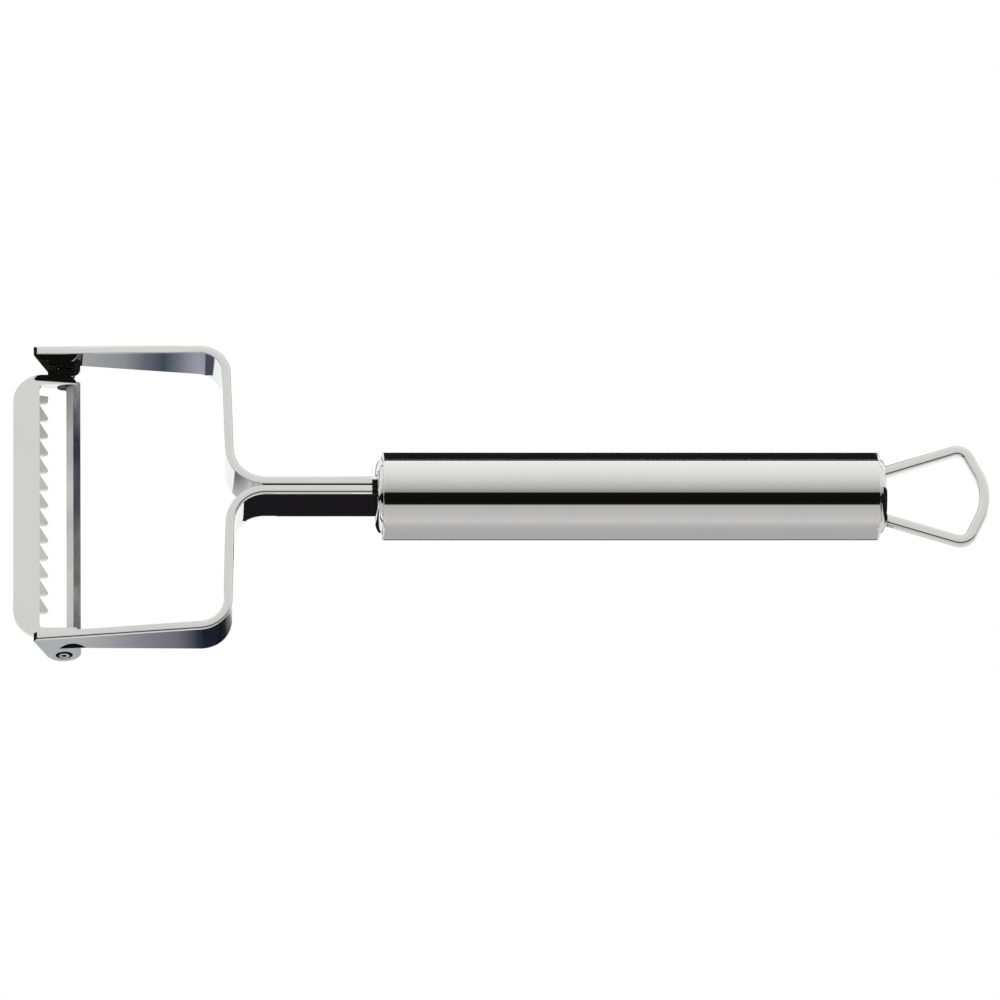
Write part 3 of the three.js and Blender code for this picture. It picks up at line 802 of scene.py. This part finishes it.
# Studio: a white floor, cards that only the polished metal sees, and a soft tent with a dark gap at the
# lens. Cards lie on the floor and flags stand upright; their places are in millimetres.
FLOOR_HALF = 3000
FLOOR_Z = -0.2
CARD_Z = -0.1
LIGHT = (0.74, 0.74, 0.74)
BLACK = (0.012, 0.011, 0.012)
SHADE = (0.16, 0.16, 0.16)
WHITE = (1, 1, 1)
NEAR_TONES = [
    (-150000, (0.65, 0.64, 0.64)),
    (-9000, (0.64, 0.63, 0.63)),
    (-2500, (0.48, 0.48, 0.48)),
    (-930, (0.45, 0.45, 0.455)),
]
TENT_TONES = [
    (-90, (0.65, 0.64, 0.625)),
    (-60, (0.57, 0.55, 0.54)),
    (-49, (0.53, 0.52, 0.51)),
    (-45, (0.006, 0.006, 0.005)),
    (-15.5, (0.006, 0.006, 0.005)),
    (-12.5, (0.34, 0.34, 0.335)),
    (0, (0.53, 0.53, 0.52)),
    (15, (0.69, 0.69, 0.68)),
    (40, (0.86, 0.86, 0.845)),
    (75, (0.98, 0.98, 0.96)),
    (82, (1.08, 1.05, 1.05)),
    (85, (0.015, 0.011, 0.013)),
    (90, (0.015, 0.011, 0.013)),
]


def stage_plane(name, middle, sides, turn=0):
    bpy.ops.object.select_all(action="DESELECT")
    place = [value * MM for value in middle]
    bpy.ops.mesh.primitive_plane_add(size=1, location=place, rotation=(0, turn, 0))
    plane = bpy.context.object
    plane.name = name
    plane.scale = (sides[0] * MM, sides[1] * MM, 1)
    settle(plane)
    return plane


def flat_plane(name, low, high, z):
    middle = ((low[0] + high[0]) / 2, (low[1] + high[1]) / 2, z)
    return stage_plane(name, middle, (high[0] - low[0], high[1] - low[1]))


# White to the camera and to the metal, while the paint under it still takes the object's shadow
def white_floor():
    made = bpy.data.materials.new("white_floor")
    made.use_nodes = True
    tree = made.node_tree
    tree.nodes.clear()
    paths = tree.nodes.new("ShaderNodeLightPath")
    glow = tree.nodes.new("ShaderNodeEmission")
    paint = tree.nodes.new("ShaderNodeBsdfDiffuse")
    seen = tree.nodes.new("ShaderNodeMath")
    seen.operation = "MAXIMUM"
    also = tree.nodes.new("ShaderNodeMath")
    also.operation = "MAXIMUM"
    mix = tree.nodes.new("ShaderNodeMixShader")
    out = tree.nodes.new("ShaderNodeOutputMaterial")
    link(tree, paths, "Is Camera Ray", seen, 0)
    link(tree, paths, "Is Glossy Ray", seen, 1)
    link(tree, seen, 0, also, 0)
    link(tree, paths, "Is Transmission Ray", also, 1)
    link(tree, also, 0, mix, 0)
    link(tree, paint, 0, mix, 1)
    link(tree, glow, 0, mix, 2)
    link(tree, mix, 0, out, "Surface")
    return made


# A card's tones follow X, plus Y times the lean
def card_material(name, tones, lean):
    made = bpy.data.materials.new(name)
    made.use_nodes = True
    tree = made.node_tree
    tree.nodes.clear()
    way = tree.nodes.new("ShaderNodeTexCoord")
    split = tree.nodes.new("ShaderNodeSeparateXYZ")
    across = tree.nodes.new("ShaderNodeMath")
    across.operation = "MULTIPLY_ADD"
    across.inputs[1].default_value = lean
    scale = tree.nodes.new("ShaderNodeMapRange")
    scale.inputs["From Min"].default_value = tones[0][0] * MM
    scale.inputs["From Max"].default_value = tones[-1][0] * MM
    ramp = tree.nodes.new("ShaderNodeValToRGB")
    glow = tree.nodes.new("ShaderNodeEmission")
    out = tree.nodes.new("ShaderNodeOutputMaterial")
    link(tree, way, "Object", split, 0)
    link(tree, split, "Y", across, 0)
    link(tree, split, "X", across, 2)
    link(tree, across, 0, scale, "Value")
    link(tree, scale, 0, ramp, 0)
    link(tree, ramp, 0, glow, "Color")
    link(tree, glow, "Emission", out, "Surface")
    fill_ramp(ramp, tones)
    return made


def show_to_metal_only(made, tones, lean=0):
    made.data.materials.append(card_material(made.name, tones, lean))
    made.visible_camera = False
    made.visible_shadow = False
    made.visible_diffuse = False


def one_tone(tone):
    return [(0, tone), (1, tone)]


def card(name, low, high, tones, lean=0):
    show_to_metal_only(flat_plane(name, low, high, CARD_Z), tones, lean)


def plain_card(name, low, high, tone):
    card(name, low, high, one_tone(tone))


# An upright dark card across the X axis, from low to high in Y and Z
def flag(name, x, low, high, tone=BLACK):
    middle = (x, (low[0] + high[0]) / 2, (low[1] + high[1]) / 2)
    made = stage_plane(name, middle, (high[1] - low[1], high[0] - low[0]), math.radians(90))
    show_to_metal_only(made, one_tone(tone))


# The tent's tones follow the angle from straight up towards +Y; the camera itself sees plain white
def soft_tent():
    world = bpy.data.worlds.new("soft_tent")
    world.use_nodes = True
    tree = world.node_tree
    tree.nodes.clear()
    way = tree.nodes.new("ShaderNodeTexCoord")
    split = tree.nodes.new("ShaderNodeSeparateXYZ")
    turn = tree.nodes.new("ShaderNodeMath")
    turn.operation = "ARCTAN2"
    scale = tree.nodes.new("ShaderNodeMapRange")
    scale.inputs["From Min"].default_value = math.radians(TENT_TONES[0][0])
    scale.inputs["From Max"].default_value = math.radians(TENT_TONES[-1][0])
    ramp = tree.nodes.new("ShaderNodeValToRGB")
    tent = tree.nodes.new("ShaderNodeBackground")
    backdrop = tree.nodes.new("ShaderNodeBackground")
    backdrop.inputs["Color"].default_value = (*WHITE, 1)
    paths = tree.nodes.new("ShaderNodeLightPath")
    mix = tree.nodes.new("ShaderNodeMixShader")
    out = tree.nodes.new("ShaderNodeOutputWorld")
    link(tree, way, "Generated", split, 0)
    link(tree, split, "Y", turn, 0)
    link(tree, split, "Z", turn, 1)
    link(tree, turn, 0, scale, "Value")
    link(tree, scale, 0, ramp, 0)
    link(tree, ramp, 0, tent, "Color")
    link(tree, paths, "Is Camera Ray", mix, 0)
    link(tree, tent, 0, mix, 1)
    link(tree, backdrop, 0, mix, 2)
    link(tree, mix, 0, out, "Surface")
    fill_ramp(ramp, TENT_TONES)
    return world


floor = flat_plane("studio_floor", (-FLOOR_HALF, -FLOOR_HALF), (FLOOR_HALF, FLOOR_HALF), FLOOR_Z)
floor.data.materials.append(white_floor())
bpy.context.scene.world = soft_tent()

# Round the tube and the loop
card("near_card", (-25, -1500), (250, -30), NEAR_TONES, 100)
card("tube_side_card", (-25, -30), (78.5, -9.3), NEAR_TONES, 100)
plain_card("loop_card", (78.5, -30), (150, 0), LIGHT)
plain_card("under_card", (-24.5, -9.2), (78.5, -0.1), SHADE)
card("far_flag", (-25, 0), (1500, 1500), [
    (-25, BLACK),
    (79.5, BLACK),
    (80.5, WHITE),
    (1500, WHITE),
], -0.08)
flag("rear_cap_flag", 79.1, (-6.8, 0), (-1, 17))
flag("rear_cap_far_flag", 80.8, (7.5, 0), (14, 8.5))
flag("front_cap_flag", -27.2, (-3, 0), (12, 8.5))

# Round the neck, where the strips part
plain_card("neck_card", (-46, -9.5), (-25.6, -2), BLACK)
plain_card("neck_bend_card", (-50.5, -9.5), (-46, -3.7), BLACK)
card("junction_card", (-80, -18), (-54, 4), [
    (-80, (0.30, 0.31, 0.34)),
    (-72, (0.14, 0.145, 0.17)),
    (-65, (0.09, 0.095, 0.12)),
    (-60, (0.22, 0.22, 0.25)),
    (-54, (0.75, 0.75, 0.76)),
])

# Round the far arm and its ear
plain_card("ear_card", (-110, 27.6), (-86, 60), BLACK)
plain_card("ear_rear_card", (-89.3, 20), (-86, 27.6), BLACK)
card("far_head_card", (-86, 20), (-66, 60), [
    (-86, (0.42, 0.42, 0.42)),
    (-77.4, (0.305, 0.31, 0.325)),
    (-73.3, (0.145, 0.16, 0.20)),
    (-69.2, (0.056, 0.078, 0.112)),
    (-66, (0.175, 0.195, 0.24)),
])
card("far_corner_card", (-66, 20), (-60, 28.4), [
    (-66, (0.175, 0.195, 0.24)),
    (-64.5, (0.27, 0.29, 0.34)),
    (-61.7, (0.38, 0.40, 0.46)),
    (-61.3, (0.05, 0.06, 0.085)),
    (-60, (0.05, 0.06, 0.085)),
])
flag("far_corner_flag", -61.5, (26, 0), (28.56, 11), (0.074, 0.078, 0.115))

# Round the near arm and both tips
card("near_head_card", (-110, -60), (-25.5, -32), [
    (-110, (0.50, 0.51, 0.52)),
    (-88, (0.48, 0.49, 0.50)),
    (-82, (0.41, 0.42, 0.43)),
    (-74, (0.265, 0.275, 0.315)),
    (-66, (0.165, 0.175, 0.205)),
    (-61.8, (0.03, 0.036, 0.052)),
    (-59.8, (0.014, 0.018, 0.03)),
    (-38, (0.008, 0.009, 0.011)),
    (-25.5, (0.5, 0.5, 0.5)),
])
card("corner_card", (-58, -32), (-46, -21), [
    (-372, (0.008, 0.009, 0.011)),
    (-340, (0.02, 0.021, 0.024)),
    (-300, (0.22, 0.22, 0.23)),
    (-262, (0.95, 0.95, 0.95)),
], 10)
flag("left_tip_flag", -115, (-32, 4), (-16, 20))
flag("right_tip_flag", -115, (34, 4), (50, 20))


# Camera: a long lens set straight in front of the head, 65 degrees above the surface the tool lies on.
# The frame is 1000 pixels wide and covers 205 mm at the handle's axis.
CAMERA_HEIGHT_ANGLE = math.radians(65)
CAMERA_DISTANCE = 2200 * MM
CAMERA_X = -95.6 * MM
AIM_X = -0.31 * MM
AIM_Y = -0.79 * MM
FRAME_WIDTH = 205 * MM
SENSOR_WIDTH = 36
CLIP_START = 0.1
CLIP_END = 20

aim = Vector((AIM_X, AIM_Y, AXIS_Z))
rise = Vector((0, -math.cos(CAMERA_HEIGHT_ANGLE), math.sin(CAMERA_HEIGHT_ANGLE)))
stand = Vector((CAMERA_X, AIM_Y, AXIS_Z)) + CAMERA_DISTANCE * rise
back = (stand - aim).normalized()
right = (Vector((1, 0, 0)) - back * back.x).normalized()
up = back.cross(right)

bpy.ops.object.camera_add(location=stand)
camera = bpy.context.object
camera.name = "product_camera"
camera.rotation_euler = Matrix((right, up, back)).transposed().to_euler()
camera.data.sensor_width = SENSOR_WIDTH
camera.data.lens = SENSOR_WIDTH * (stand - aim).length / FRAME_WIDTH
camera.data.clip_start = CLIP_START
camera.data.clip_end = CLIP_END
bpy.context.scene.camera = camera

bpy.context.scene.view_settings.view_transform = "Standard"
